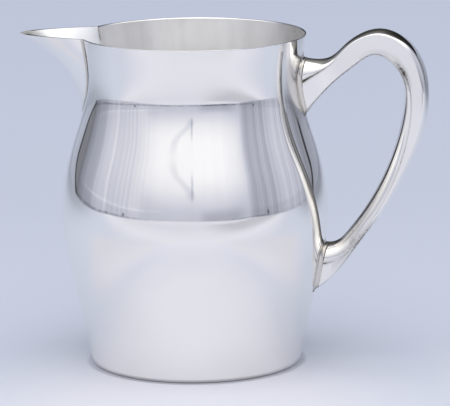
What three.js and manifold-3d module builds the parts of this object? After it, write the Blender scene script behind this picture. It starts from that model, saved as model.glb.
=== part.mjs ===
// Creamer: a polished silver cream jug with a beak spout and a hollow ear-shaped handle.
// Millimetres, +Z up. X runs from the spout to the handle and y = 0 is the jug's mirror plane.
import * as THREE from "three";
import { mergeVertices } from "three/addons/utils/BufferGeometryUtils.js";
import Module from "manifold-3d";

const wasm = await Module();
wasm.setup();

// Body: outer radii of the baluster wall and the heights at which they are set out.
const rimHeight = 108;
const rimRadius = 36.75;
const neckHeight = 90;
const neckRadius = 35.05;
const shoulderHeight = 68;
const shoulderRadius = 40.85;
const bellyHeight = 48;
const bellyRadius = 43.5;
const flankHeight = 28;
const flankRadius = 40.2;
const footRadius = 34.1;
const footFlare = 0.205;
const rimFlare = 0.12;
const wallSheet = 0.7;
const footEdgeRadius = 1.4;
const flangeWidth = 4;

// Spout: a folded beak whose level top edge is a parabola seen from above.
const spoutReach = 56.6;
const spoutLength = 26.5;
const spoutHalfWidth = 14.7;
const seamWidestDrop = 4;
const seamFullness = 1.6;
const seamEdge = 0.5;
const seamLap = 0.5;
const keelStraight = 14;
const keelTipRun = 11.6;
const keelTipDrop = 6.8;
const spoutSheet = 0.7;

// Handle: two stamped halves. Heights of the ends are taken from the rim and from the table.
const handleReach = 76.5;
const handleSheet = 0.7;
const upperEndDrop = 6.9;
const upperTailDrop = 25.8;
const upperTailSlope = 1.4;
const upperEndDepth = 12;
const upperTailDepth = 4;
const upperEndCrown = 6.2;
const lowerEndHeight = 39.6;
const lowerTailHeight = 23.9;
const lowerTailSlope = 0.5;
const lowerEndDepth = 13.5;
const lowerTailDepth = 8;
const lowerEndCrown = 4.2;
const tailCrown = 1.3;
const archCrown = 2;
const archTopCrown = 1.1;
const limbOuterCrown = 1.3;
const limbInnerCrown = 3.2;
const crownTurn = 90;
const limbTurn = 102;
const rootTurn = 118;
const archDepth = 10;
const limbDepth = 9;
const waistDepth = 8;
const handleEmbed = 2;

// Fits: the clearance between soldered pieces and the size of the solder fillets.
const fit = 0.3;
const filletLeg = 1.1;

// How finely the round forms are divided.
const bodySides = 64;
const spoutRows = 14;
const spoutColumns = 16;
const notchSteps = 12;
const seamSteps = 20;
const handleRows = 36;
const crownSteps = 5;
const cheekSteps = 2;
const endShare = 0.09;

// A smooth curve through given values: a cubic spline with set end slopes, or straight ends.
function splineThrough(at, values, startSlope, endSlope) {
  const last = at.length - 1;
  const step = at.slice(1).map((a, i) => a - at[i]);
  const rise = step.map((h, i) => (values[i + 1] - values[i]) / h);
  const lower = new Array(last + 1).fill(0);
  const middle = new Array(last + 1).fill(2);
  const upper = new Array(last + 1).fill(0);
  const right = new Array(last + 1).fill(0);
  for (let i = 1; i < last; i += 1) {
    lower[i] = step[i - 1] / (step[i - 1] + step[i]);
    upper[i] = 1 - lower[i];
    right[i] = (6 * (rise[i] - rise[i - 1])) / (step[i - 1] + step[i]);
  }
  if (startSlope !== undefined) {
    upper[0] = 1;
    right[0] = (6 * (rise[0] - startSlope)) / step[0];
  }
  if (endSlope !== undefined) {
    lower[last] = 1;
    right[last] = (6 * (endSlope - rise[last - 1])) / step[last - 1];
  }
  for (let i = 1; i <= last; i += 1) {
    const share = lower[i] / middle[i - 1];
    middle[i] -= share * upper[i - 1];
    right[i] -= share * right[i - 1];
  }
  const bend = new Array(last + 1).fill(0);
  bend[last] = right[last] / middle[last];
  for (let i = last - 1; i >= 0; i -= 1) {
    bend[i] = (right[i] - upper[i] * bend[i + 1]) / middle[i];
  }
  return (x) => {
    let i = 0;
    while (i < last - 1 && x > at[i + 1]) {
      i += 1;
    }
    const h = step[i];
    const a = at[i + 1] - x;
    const b = x - at[i];
    return (
      (bend[i] * a ** 3 + bend[i + 1] * b ** 3) / (6 * h) +
      (values[i] / h - (bend[i] * h) / 6) * a +
      (values[i + 1] / h - (bend[i + 1] * h) / 6) * b
    );
  };
}

const wallRadius = splineThrough(
  [0, flankHeight, bellyHeight, shoulderHeight, neckHeight, rimHeight],
  [footRadius, flankRadius, bellyRadius, shoulderRadius, neckRadius, rimRadius],
  footFlare,
  rimFlare,
);

// Reads a three.js geometry as a closed solid, and turns a solid back into a geometry.
function toSolid(geometry) {
  const plain = geometry.clone();
  plain.deleteAttribute("normal");
  plain.deleteAttribute("uv");
  const merged = mergeVertices(plain, 1e-4);
  const mesh = new wasm.Mesh({
    numProp: 3,
    vertProperties: new Float32Array(merged.attributes.position.array),
    triVerts: new Uint32Array(merged.index.array),
  });
  return new wasm.Manifold(mesh);
}

function toGeometry(solid) {
  const mesh = solid.getMesh();
  const geometry = new THREE.BufferGeometry();
  geometry.setAttribute("position", new THREE.BufferAttribute(mesh.vertProperties, 3));
  geometry.setIndex(new THREE.BufferAttribute(mesh.triVerts, 1));
  geometry.computeVertexNormals();
  return geometry;
}

// Turns a closed outline of [radius, height] points round the jug's axis.
function revolve(outline) {
  const points = outline.map(([r, z]) => new THREE.Vector2(r, z));
  points.push(points[0].clone());
  const geometry = new THREE.LatheGeometry(points, bodySides);
  geometry.rotateX(Math.PI / 2);
  return geometry;
}

// Skins a stack of closed rings of points; a ring at each end is closed by a fan, or the stack by itself.
function skinRings(rings, joined) {
  const count = rings[0].length;
  const positions = rings.flat().flatMap((p) => [p.x, p.y, p.z]);
  const index = [];
  const spans = joined ? rings.length : rings.length - 1;
  for (let i = 0; i < spans; i += 1) {
    for (let j = 0; j < count; j += 1) {
      const a = i * count + j;
      const b = i * count + ((j + 1) % count);
      const c = ((i + 1) % rings.length) * count + j;
      const d = ((i + 1) % rings.length) * count + ((j + 1) % count);
      index.push(a, b, d, a, d, c);
    }
  }
  if (!joined) {
    const top = (rings.length - 1) * count;
    for (let j = 1; j < count - 1; j += 1) {
      index.push(0, j + 1, j, top, top + j, top + j + 1);
    }
  }
  const geometry = new THREE.BufferGeometry();
  geometry.setAttribute("position", new THREE.Float32BufferAttribute(positions, 3));
  geometry.setIndex(index);
  return geometry;
}

// Closes a sheet between two grids of points, its outer face and its inner face, along all four edges.
function sheetBetween(outer, inner) {
  const rows = outer.length;
  const columns = outer[0].length;
  const positions = [...outer.flat(), ...inner.flat()].flatMap((p) => [p.x, p.y, p.z]);
  const under = rows * columns;
  const index = [];
  const quad = (a, b, c, d) => index.push(a, b, c, a, c, d);
  for (let i = 0; i < rows - 1; i += 1) {
    for (let j = 0; j < columns - 1; j += 1) {
      const a = i * columns + j;
      const b = a + 1;
      const c = a + columns + 1;
      const d = a + columns;
      quad(a, b, c, d);
      quad(under + a, under + d, under + c, under + b);
    }
  }
  for (let j = 0; j < columns - 1; j += 1) {
    const first = j;
    const final = (rows - 1) * columns + j;
    quad(first, under + first, under + first + 1, first + 1);
    quad(final, final + 1, under + final + 1, under + final);
  }
  for (let i = 0; i < rows - 1; i += 1) {
    const first = i * columns;
    const final = first + columns - 1;
    quad(first, first + columns, under + first + columns, under + first);
    quad(final, under + final, under + final + columns, final + columns);
  }
  const geometry = new THREE.BufferGeometry();
  geometry.setAttribute("position", new THREE.Float32BufferAttribute(positions, 3));
  geometry.setIndex(index);
  return geometry;
}

// The wall's outline at a normal distance inside or outside its outer face.
function wallLine(offset, from, to, steps) {
  const line = [];
  for (let i = 0; i <= steps; i += 1) {
    const z = from + ((to - from) * i) / steps;
    const slope = (wallRadius(z + 0.01) - wallRadius(z - 0.01)) / 0.02;
    const length = Math.hypot(1, slope);
    line.push([wallRadius(z) + offset / length, z - (offset * slope) / length]);
  }
  return line;
}

// A quarter or less of a circle between two directions, in degrees.
function arc(centreR, centreZ, radius, fromDegrees, toDegrees, steps) {
  const points = [];
  for (let i = 0; i <= steps; i += 1) {
    const angle = THREE.MathUtils.degToRad(fromDegrees + ((toDegrees - fromDegrees) * i) / steps);
    points.push([centreR + radius * Math.cos(angle), centreZ + radius * Math.sin(angle)]);
  }
  return points;
}

const wallSteps = 15;
const footEdgeCentre = wallRadius(footEdgeRadius) - footEdgeRadius;
const innerEdgeRadius = Math.max(footEdgeRadius - wallSheet, 0.2);
const flangeInner = footEdgeCentre - flangeWidth;
const overrun = rimHeight / 5;

// Body wall: up the outside, over the softened rim, down the inside and round the turned-in flange.
function makeBodyWall() {
  const outside = wallLine(0, footEdgeRadius, rimHeight - wallSheet / 2, wallSteps);
  const inside = wallLine(-wallSheet, footEdgeRadius, rimHeight - wallSheet / 2, wallSteps).reverse();
  const rimCentre = wallRadius(rimHeight - wallSheet / 2) - wallSheet / 2;
  const rimEdge = arc(rimCentre, rimHeight - wallSheet / 2, wallSheet / 2, 45, 135, 2);
  const outerCorner = arc(footEdgeCentre, footEdgeRadius, footEdgeRadius, -90, -30, 2);
  const innerCorner = arc(footEdgeCentre, footEdgeRadius, innerEdgeRadius, -30, -90, 2);
  const outline = [
    [flangeInner, 0],
    ...outerCorner,
    ...outside,
    ...rimEdge,
    ...inside,
    ...innerCorner,
    [flangeInner, wallSheet],
  ];
  return toSolid(revolve(outline)).subtract(toSolid(makeNotch()));
}

// The full body as a filled form, a clearance larger, to trim what is soldered on to it.
function makeBodyForm(clearance) {
  const outside = wallLine(clearance, 0, rimHeight, wallSteps + 1);
  const top = rimHeight + overrun;
  const bottom = -overrun;
  const pin = wallSheet / 50;
  const outline = [
    [pin, bottom],
    [outside[0][0], bottom],
    ...outside,
    [outside.at(-1)[0], top],
    [pin, top],
  ];
  const core = new THREE.BoxGeometry(wallSheet, wallSheet, top - bottom);
  core.translate(0, 0, (top + bottom) / 2);
  return toSolid(revolve(outline)).add(toSolid(core));
}

// Spout seam on the wall: half width at a height, and the U that it draws from rim to rim.
const spoutFoot = rimHeight - spoutLength;
const seamWidest = rimHeight - seamWidestDrop;

function seamHalfWidth(z) {
  const share = THREE.MathUtils.clamp((seamWidest - z) / (seamWidest - spoutFoot), 0, 1);
  return spoutHalfWidth * Math.sqrt(1 - share ** seamFullness);
}

// A point of the seam's U, laid out flat, moved away from its inside by a distance.
function seamPoint(run, away) {
  const flat = (s) => {
    const z = spoutFoot + spoutLength * s * s;
    return [Math.sign(s) * seamHalfWidth(z), z];
  };
  const [y0, z0] = flat(run - 0.005);
  const [y1, z1] = flat(run + 0.005);
  const length = Math.hypot(y1 - y0, z1 - z0);
  const [y, z] = flat(run);
  return [y + (away * (z1 - z0)) / length, z - (away * (y1 - y0)) / length];
}

// The opening behind the spout, smaller than the seam by the lap, cut through the wall and the rim.
function makeNotch() {
  const outline = new THREE.Shape();
  const points = [];
  for (let i = -notchSteps; i <= notchSteps; i += 1) {
    points.push(seamPoint((0.95 * i) / notchSteps, -seamLap));
  }
  const top = rimHeight + overrun;
  outline.moveTo(points[0][0], top);
  points.forEach(([y, z]) => outline.lineTo(y, z));
  outline.lineTo(points.at(-1)[0], top);
  outline.closePath();
  const cutter = new THREE.ExtrudeGeometry(outline, { depth: spoutReach, bevelEnabled: false });
  cutter.rotateX(Math.PI / 2);
  cutter.rotateZ(-Math.PI / 2);
  return cutter;
}

// Spout: each level slice is a parabola from seam to seam with its nose on the keel.
const seatRadius = (z) => wallRadius(Math.min(z, rimHeight)) + fit + seamEdge;
const keel = new THREE.CubicBezierCurve(
  new THREE.Vector2(seatRadius(spoutFoot), spoutFoot),
  new THREE.Vector2(seatRadius(spoutFoot), spoutFoot + keelStraight),
  new THREE.Vector2(spoutReach - keelTipRun, rimHeight - keelTipDrop),
  new THREE.Vector2(spoutReach, rimHeight),
);

function spoutPoint(run, across) {
  const nose = keel.getPoint(run * run);
  const half = seamHalfWidth(nose.y);
  const seat = Math.sqrt(Math.max(seatRadius(nose.y) ** 2 - half ** 2, 1));
  return new THREE.Vector3(-(nose.x - (nose.x - seat) * across * across), half * across, nose.y);
}

function makeSpout(bodyForm) {
  const outer = [];
  const inner = [];
  for (let i = 0; i <= spoutRows; i += 1) {
    const run = 0.06 + (0.98 * i) / spoutRows;
    const outerRow = [];
    const innerRow = [];
    for (let j = 0; j <= spoutColumns; j += 1) {
      const across = 1 - (2 * j) / spoutColumns;
      const point = spoutPoint(run, across);
      const along = spoutPoint(run + 0.004, across).sub(spoutPoint(run - 0.004, across));
      const side = spoutPoint(run, across + 0.01).sub(spoutPoint(run, across - 0.01));
      const normal = along.cross(side).normalize();
      outerRow.push(point);
      innerRow.push(point.clone().addScaledVector(normal, -spoutSheet));
    }
    outer.push(outerRow);
    inner.push(innerRow);
  }
  const above = new THREE.BoxGeometry(4 * spoutReach, 4 * spoutReach, overrun);
  above.translate(0, 0, rimHeight + overrun / 2);
  return toSolid(sheetBetween(outer, inner)).subtract(bodyForm).subtract(toSolid(above));
}

// A place on the spout's side from its sideways distance, its height and how far it lies off the wall.
function offWall(y, z, lift) {
  const radius = wallRadius(Math.min(z, rimHeight)) + lift;
  const angle = Math.asin(THREE.MathUtils.clamp(y / radius, -1, 1));
  return new THREE.Vector3(-radius * Math.cos(angle), radius * Math.sin(angle), z);
}

// Solder of the spout: a three-sided fillet that follows the seam's U from rim to rim.
function makeSpoutSolder() {
  const rings = [];
  for (let i = -seamSteps; i <= seamSteps; i += 1) {
    const run = i / seamSteps;
    const [y, z] = seamPoint(run, fit);
    const [outY, outZ] = seamPoint(run, fit + filletLeg);
    rings.push([offWall(y, z, fit), offWall(outY, outZ, fit), offWall(y, z, fit + filletLeg)]);
  }
  return skinRings(rings, false);
}

// Handle stations from the upper end, over the arch and down to the lower end: the outer and inner edge
// in the mid plane, the depth at each edge, how far each edge is crowned and the angle that its crown
// turns through. At the roots, and along the inner edge of the limb, a crown turns past the cheek, so that a
// rolled bead stands proud of it.
function handleStation(outer, inner, depths, crowns, turns = [crownTurn, crownTurn]) {
  return {
    outer,
    inner,
    outerDepth: depths[0],
    innerDepth: depths[1],
    outerCrown: crowns[0],
    innerCrown: crowns[1],
    outerTurn: THREE.MathUtils.degToRad(turns[0]),
    innerTurn: THREE.MathUtils.degToRad(turns[1]),
  };
}

const upperEnd = rimHeight - upperEndDrop;
const upperTail = rimHeight - upperTailDrop;
const embeddedUpperTail = upperTail - handleEmbed * upperTailSlope;
const embeddedLowerTail = lowerTailHeight - handleEmbed * lowerTailSlope;

// Places along the handle as shares of its reach from the axis and of the rim's height.
const out = (share) => handleReach * share;
const up = (share) => rimHeight * share;
const archDepths = [archDepth, archDepth];

const stations = [
  handleStation(
    [wallRadius(upperEnd) - handleEmbed, upperEnd],
    [wallRadius(upperTail) - handleEmbed, embeddedUpperTail],
    [upperEndDepth, upperTailDepth],
    [upperEndCrown, tailCrown],
    [rootTurn, crownTurn],
  ),
  handleStation(
    [wallRadius(upperEnd) + out(0.111), up(0.9325)],
    [wallRadius(upperEnd) + out(0.124), up(0.85)],
    [(upperEndDepth + archDepth) / 2, archDepth],
    [archCrown, tailCrown],
  ),
  handleStation([out(0.662), up(0.983)], [out(0.691), up(0.908)], archDepths, [archTopCrown, tailCrown]),
  handleStation([out(0.788), up(1.018)], [out(0.775), up(0.938)], archDepths, [archTopCrown, archCrown]),
  handleStation(
    [out(0.931), up(0.971)],
    [out(0.858), up(0.901)],
    archDepths,
    [archCrown, (2 * archCrown + limbInnerCrown) / 3],
    [crownTurn, (2 * crownTurn + limbTurn) / 3],
  ),
  handleStation(
    [out(1), up(0.824)],
    [out(0.893), up(0.817)],
    archDepths,
    [(archCrown + limbOuterCrown) / 2, limbInnerCrown],
    [crownTurn, (crownTurn + limbTurn) / 2],
  ),
  handleStation(
    [out(0.933), up(0.631)],
    [out(0.845), up(0.648)],
    [limbDepth, limbDepth],
    [limbOuterCrown, limbInnerCrown],
    [crownTurn, limbTurn],
  ),
  handleStation(
    [out(0.793), up(0.452)],
    [out(0.722), up(0.47)],
    [limbDepth, limbDepth],
    [limbOuterCrown, limbInnerCrown],
    [crownTurn, limbTurn],
  ),
  handleStation(
    [wallRadius(up(0.363)) + out(0.138), up(0.355)],
    [wallRadius(up(0.397)) + out(0.078), up(0.394)],
    [waistDepth, waistDepth],
    [limbOuterCrown, limbInnerCrown],
    [crownTurn, limbTurn],
  ),
  handleStation(
    [wallRadius(up(0.262)) + out(0.056), up(0.259)],
    [wallRadius(lowerEndHeight) + out(0.032), lowerEndHeight + out(0.004)],
    [(waistDepth + lowerTailDepth) / 2, (waistDepth + 2 * lowerEndDepth) / 3],
    [(limbOuterCrown + tailCrown) / 2, (limbInnerCrown + 2 * lowerEndCrown) / 3],
    [crownTurn, (limbTurn + 2 * rootTurn) / 3],
  ),
  handleStation(
    [wallRadius(lowerTailHeight) - handleEmbed, embeddedLowerTail],
    [wallRadius(lowerEndHeight) - handleEmbed, lowerEndHeight],
    [lowerTailDepth, lowerEndDepth],
    [tailCrown, lowerEndCrown],
    [crownTurn, rootTurn],
  ),
];

const middles = stations.map(({ outer, inner }) => [(outer[0] + inner[0]) / 2, (outer[1] + inner[1]) / 2]);
const runs = [0];
middles.slice(1).forEach(([x, z], i) => {
  runs.push(runs[i] + Math.hypot(x - middles[i][0], z - middles[i][1]));
});
const handleLength = runs.at(-1);
const follow = (pick) => splineThrough(runs, stations.map(pick));
const handleLines = {
  outerX: follow((s) => s.outer[0]),
  outerZ: follow((s) => s.outer[1]),
  innerX: follow((s) => s.inner[0]),
  innerZ: follow((s) => s.inner[1]),
  outerDepth: follow((s) => s.outerDepth),
  innerDepth: follow((s) => s.innerDepth),
  outerCrown: follow((s) => s.outerCrown),
  innerCrown: follow((s) => s.innerCrown),
  outerTurn: follow((s) => s.outerTurn),
  innerTurn: follow((s) => s.innerTurn),
};

// Half of the handle's section as [distance from the inner edge, depth], from the outer edge to the inner
// one: a part of an ellipse, a flat cheek and a part of an ellipse. An offset makes it larger all round.
function handleSection(run, offset) {
  const outer = new THREE.Vector2(handleLines.outerX(run), handleLines.outerZ(run));
  const inner = new THREE.Vector2(handleLines.innerX(run), handleLines.innerZ(run));
  const direction = outer.clone().sub(inner);
  const thickness = direction.length() + 2 * offset;
  direction.normalize();
  const outerHalf = Math.max(handleLines.outerDepth(run) / 2 + offset, 0.4);
  const innerHalf = Math.max(handleLines.innerDepth(run) / 2 + offset, 0.4);
  const outerCrown = Math.max(handleLines.outerCrown(run) + offset, 0.4);
  const innerCrown = Math.max(handleLines.innerCrown(run) + offset, 0.4);
  const outerSide = [];
  const innerSide = [];
  for (let i = 0; i <= crownSteps; i += 1) {
    const outerAngle = (handleLines.outerTurn(run) * i) / crownSteps;
    const innerAngle = (handleLines.innerTurn(run) * i) / crownSteps;
    outerSide.push([thickness - outerCrown * (1 - Math.cos(outerAngle)), outerHalf * Math.sin(outerAngle)]);
    innerSide.unshift([innerCrown * (1 - Math.cos(innerAngle)), innerHalf * Math.sin(innerAngle)]);
  }
  const cheek = [];
  for (let i = 1; i < cheekSteps; i += 1) {
    const share = i / cheekSteps;
    cheek.push(outerSide.at(-1).map((from, k) => from * (1 - share) + innerSide[0][k] * share));
  }
  const points = [...outerSide, ...cheek, ...innerSide];
  const start = inner.clone().addScaledVector(direction, -offset);
  return points.map(([across, depth], i) => {
    const place = start.clone().addScaledVector(direction, across);
    const flush = i === 0 || i === points.length - 1;
    return new THREE.Vector3(place.x, flush ? 0 : depth, place.y);
  });
}

function makeHandleShell(side, bodyForm) {
  const outer = [];
  const inner = [];
  for (let i = 0; i <= handleRows; i += 1) {
    const run = (handleLength * i) / handleRows;
    const mirror = (p) => new THREE.Vector3(p.x, side * p.y, p.z);
    const outerRow = handleSection(run, 0).map(mirror);
    const innerRow = handleSection(run, -handleSheet).map(mirror);
    outer.push(side < 0 ? outerRow : outerRow.reverse());
    inner.push(side < 0 ? innerRow : innerRow.reverse());
  }
  return toSolid(sheetBetween(outer, inner)).subtract(bodyForm);
}

// Where one line along the handle, grown by an offset, stands a given distance off the wall near one end.
function handleOnWall(column, side, fromEnd, offset, lift) {
  const place = (share) => {
    const run = fromEnd ? handleLength * (1 - share) : handleLength * share;
    const point = handleSection(run, offset)[column];
    return new THREE.Vector3(point.x, side * point.y, point.z);
  };
  const height = (point) => Math.hypot(point.x, point.y) - wallRadius(Math.min(point.z, rimHeight)) - lift;
  let near = 0;
  let far = endShare;
  for (let i = 0; i < 40; i += 1) {
    const middle = (near + far) / 2;
    if (height(place(middle)) < 0) {
      near = middle;
    } else {
      far = middle;
    }
  }
  return place((near + far) / 2);
}

// Solder of one end of the handle: a three-sided fillet closed round the end.
function makeHandleSolder(lower) {
  const rings = [];
  const columns = handleSection(0, 0).length;
  const addRing = (column, side) => {
    const corner = handleOnWall(column, side, lower, fit, fit);
    const up = handleOnWall(column, side, lower, fit, fit + filletLeg);
    const out = handleOnWall(column, side, lower, fit + filletLeg, fit);
    rings.push(lower ? [corner, up, out] : [corner, out, up]);
  };
  for (let j = 0; j < columns; j += 1) {
    addRing(j, 1);
  }
  for (let j = columns - 2; j > 0; j -= 1) {
    addRing(j, -1);
  }
  return skinRings(rings, true);
}

// Bottom: a flat disc let in on to the flange, with a ring of solder in its corner.
const discHeight = wallSheet;
const discRadius = wallRadius(discHeight + wallSheet) - wallSheet - fit - innerEdgeRadius;

function makeBaseDisc() {
  const disc = new THREE.CylinderGeometry(discRadius, discRadius, wallSheet, bodySides);
  disc.rotateX(Math.PI / 2);
  disc.translate(0, 0, discHeight + wallSheet / 2);
  return disc;
}

function makeBaseSolder() {
  const floor = discHeight + wallSheet;
  const wallAt = (z) => wallRadius(z) - wallSheet * 1.03 - fit;
  return revolve([
    [discRadius - filletLeg, floor],
    [discRadius, floor],
    [wallAt(floor + 0.4), floor + 0.4],
    [wallAt(floor + filletLeg), floor + filletLeg],
  ]);
}

const silver = new THREE.MeshStandardMaterial({ color: 0xc8cbd2, metalness: 1, roughness: 0.1 });
const silverInside = new THREE.MeshStandardMaterial({ color: 0xbfc2c8, metalness: 1, roughness: 0.22 });
const solder = new THREE.MeshStandardMaterial({ color: 0xb9bcc2, metalness: 1, roughness: 0.25 });

const creamer = new THREE.Group();
creamer.name = "creamer";
const bodyForm = makeBodyForm(fit);

function place(name, geometry, material) {
  const mesh = new THREE.Mesh(geometry, material);
  mesh.name = name;
  creamer.add(mesh);
}

place("body_wall", toGeometry(makeBodyWall()), silver);
place("base_disc", makeBaseDisc(), silverInside);
place("base_solder", makeBaseSolder(), solder);
place("spout", toGeometry(makeSpout(bodyForm)), silver);
place("spout_solder", makeSpoutSolder(), solder);
place("handle_shell_left", toGeometry(makeHandleShell(1, bodyForm)), silver);
place("handle_shell_right", toGeometry(makeHandleShell(-1, bodyForm)), silver);
place("handle_solder_upper", makeHandleSolder(false), solder);
place("handle_solder_lower", makeHandleSolder(true), solder);

// The jug stands with the middle of its overall length on the origin.
const bounds = new THREE.Box3().setFromObject(creamer);
creamer.position.x = -(bounds.min.x + bounds.max.x) / 2;
creamer.updateMatrixWorld(true);

export default creamer;
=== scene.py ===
# %% [markdown]
# # A polished silver creamer
# A small cream jug is raised from one sheet of silver, a folded beak is soldered over a cut in its rim,
# and a hollow handle of two stamped halves is soldered to its back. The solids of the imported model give
# every place and size. This lesson skins the same forms finely enough for a mirror finish, because a
# mirror shows every facet that a matt surface would hide.

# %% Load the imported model
import math

import bpy
import numpy as np
from mathutils import Matrix, Vector


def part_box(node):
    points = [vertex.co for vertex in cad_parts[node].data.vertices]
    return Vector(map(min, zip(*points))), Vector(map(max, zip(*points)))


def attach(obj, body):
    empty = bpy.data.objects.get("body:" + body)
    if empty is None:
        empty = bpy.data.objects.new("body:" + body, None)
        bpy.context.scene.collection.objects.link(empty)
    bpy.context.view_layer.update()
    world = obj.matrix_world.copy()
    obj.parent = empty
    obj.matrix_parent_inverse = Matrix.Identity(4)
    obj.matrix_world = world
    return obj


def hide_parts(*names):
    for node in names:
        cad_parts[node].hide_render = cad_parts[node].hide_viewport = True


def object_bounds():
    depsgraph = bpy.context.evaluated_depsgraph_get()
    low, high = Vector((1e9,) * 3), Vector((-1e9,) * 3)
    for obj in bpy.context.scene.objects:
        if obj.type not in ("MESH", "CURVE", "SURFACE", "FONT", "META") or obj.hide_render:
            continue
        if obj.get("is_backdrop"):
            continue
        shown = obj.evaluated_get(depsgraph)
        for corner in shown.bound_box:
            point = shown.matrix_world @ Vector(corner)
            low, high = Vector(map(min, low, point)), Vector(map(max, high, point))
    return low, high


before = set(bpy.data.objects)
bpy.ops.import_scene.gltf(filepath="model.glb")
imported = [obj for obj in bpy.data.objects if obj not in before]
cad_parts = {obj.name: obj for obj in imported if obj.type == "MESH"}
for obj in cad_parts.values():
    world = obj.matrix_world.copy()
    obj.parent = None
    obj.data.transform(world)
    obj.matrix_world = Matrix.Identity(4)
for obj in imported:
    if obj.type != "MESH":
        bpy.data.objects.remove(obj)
cad_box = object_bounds()
scene = bpy.context.scene
disc_low, disc_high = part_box("base_disc")
jug_axis = Vector(((disc_low.x + disc_high.x) / 2, 0, 0))
print("nodes:", len(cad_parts), "axis of the jug at x =", round(jug_axis.x * 1000, 2), "mm")

# %% [markdown]
# ## The camera
# The picture is taken with a long lens a little above the rim, so the mouth is a narrow ellipse. The jug
# stands almost in profile, with its handle turned a few degrees towards the lens. A camera can be aimed
# with a tracking constraint, but a matrix of its three axes keeps the small roll as well.

# %% Place the camera
handle_turn = math.radians(6.8)
lens_pitch = math.radians(11.35)
lens_roll = math.radians(0.6)
lens_aside, lens_away, lens_height = 0.0098, 1.099, 0.27257
focal_length, film_width = 274.5, 36
towards_lens = Vector((math.sin(handle_turn), -math.cos(handle_turn), 0))
to_the_right = Vector((math.cos(handle_turn), math.sin(handle_turn), 0))
upwards = Vector((0, 0, 1))

looking = -towards_lens * math.cos(lens_pitch) - upwards * math.sin(lens_pitch)
picture_up = -towards_lens * math.sin(lens_pitch) + upwards * math.cos(lens_pitch)
camera_x = to_the_right * math.cos(lens_roll) - picture_up * math.sin(lens_roll)
camera_y = to_the_right * math.sin(lens_roll) + picture_up * math.cos(lens_roll)


def put_in_scene(name, data):
    placed = bpy.data.objects.new(name, data)
    scene.collection.objects.link(placed)
    return placed


camera = put_in_scene("camera", bpy.data.cameras.new("camera"))
camera.data.sensor_fit = "HORIZONTAL"
camera.data.sensor_width = film_width
camera.data.lens = focal_length
camera.matrix_world = Matrix((camera_x, camera_y, -looking)).transposed().to_4x4()
camera.location = jug_axis + to_the_right * lens_aside + towards_lens * lens_away + upwards * lens_height
scene.camera = camera
scene.view_settings.view_transform = "Standard"
print("camera at", [round(v, 4) for v in camera.location])

# %% [markdown]
# ## One way to write shader maths
# Finishes here are worked out from position: hairlines from the height, stains from noise. Wiring each
# Math node by hand hides the idea, so a small class wraps a socket and lets Python's own operators add
# the nodes.

# %% A socket that can be calculated with
class Tone:
    """A shader socket: sums and products of tones add Math nodes to the tree."""

    def __init__(self, tree, socket=None):
        self.tree = tree
        self.socket = socket

    @staticmethod
    def find(sockets, name):
        if isinstance(name, int):
            return sockets[name]
        return next(s for s in sockets if name in (s.identifier, s.name))

    def node(self, kind, settings=None, sockets=None, out=0):
        made = self.tree.nodes.new(kind)
        for name, value in (settings or {}).items():
            if name == "stops":
                ramp = made.color_ramp.elements
                ramp.remove(ramp[-1])
                ramp[0].position, ramp[0].color = value[0]
                for at, colour in value[1:]:
                    ramp.new(at).color = colour
            else:
                setattr(made, name, value)
        for name, value in (sockets or {}).items():
            socket = self.find(made.inputs, name)
            if isinstance(value, Tone):
                self.tree.links.new(value.socket, socket)
            else:
                socket.default_value = value
        return Tone(self.tree, self.find(made.outputs, out))

    def maths(self, operation, *values):
        return self.node("ShaderNodeMath", {"operation": operation}, dict(enumerate(values)))

    def __add__(self, other):
        return self.maths("ADD", self, other)

    def __sub__(self, other):
        return self.maths("SUBTRACT", self, other)

    def __rsub__(self, other):
        return self.maths("SUBTRACT", other, self)

    def __mul__(self, other):
        return self.maths("MULTIPLY", self, other)

    __radd__ = __add__
    __rmul__ = __mul__

    def size(self):
        return self.maths("ABSOLUTE", self)

    def rise(self, low, high):
        """0 below low, 1 above high and a soft step between them."""
        limits = {"Value": self, "From Min": low, "From Max": high}
        return self.node("ShaderNodeMapRange", {"interpolation_type": "SMOOTHSTEP"}, limits)

    def blend(self, first, second):
        """The first colour where this tone is 0 and the second where it is 1."""
        sockets = {"Factor_Float": self, "A_Color": first, "B_Color": second}
        return self.node("ShaderNodeMix", {"data_type": "RGBA"}, sockets, "Result_Color")

    def ramp(self, low, high, stops):
        """A colour, or a grey, read off a list of (place, colour) between low and high."""
        shade = [c if isinstance(c, tuple) else (c, c, c) for _, c in stops]
        places = [(at - low) / (high - low) for at, _ in stops]
        settings = {"stops": [(p, c + (1,)) for p, c in zip(places, shade)]}
        return self.node("ShaderNodeValToRGB", settings, {"Fac": (self - low) * (1 / (high - low))})

    def vector(self, operation, other, out=0):
        return self.node("ShaderNodeVectorMath", {"operation": operation}, {0: self, 1: other}, out)

    def distance(self, point):
        return self.vector("DISTANCE", point, "Value")

    def along(self, direction):
        return self.vector("DOT_PRODUCT", direction, "Value")

    def noise(self, scale, detail=2.0, dimensions="3D"):
        where = "W" if dimensions == "1D" else "Vector"
        sockets = {where: self, "Scale": scale, "Detail": detail}
        return self.node("ShaderNodeTexNoise", {"noise_dimensions": dimensions}, sockets)

    def feed(self, shader, name):
        self.tree.links.new(self.socket, shader.inputs[name])


def finish_tree(name):
    material = bpy.data.materials.new(name)
    material.use_nodes = True
    return material, Tone(material.node_tree), material.node_tree.nodes["Principled BSDF"]


print("shader maths ready")

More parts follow.
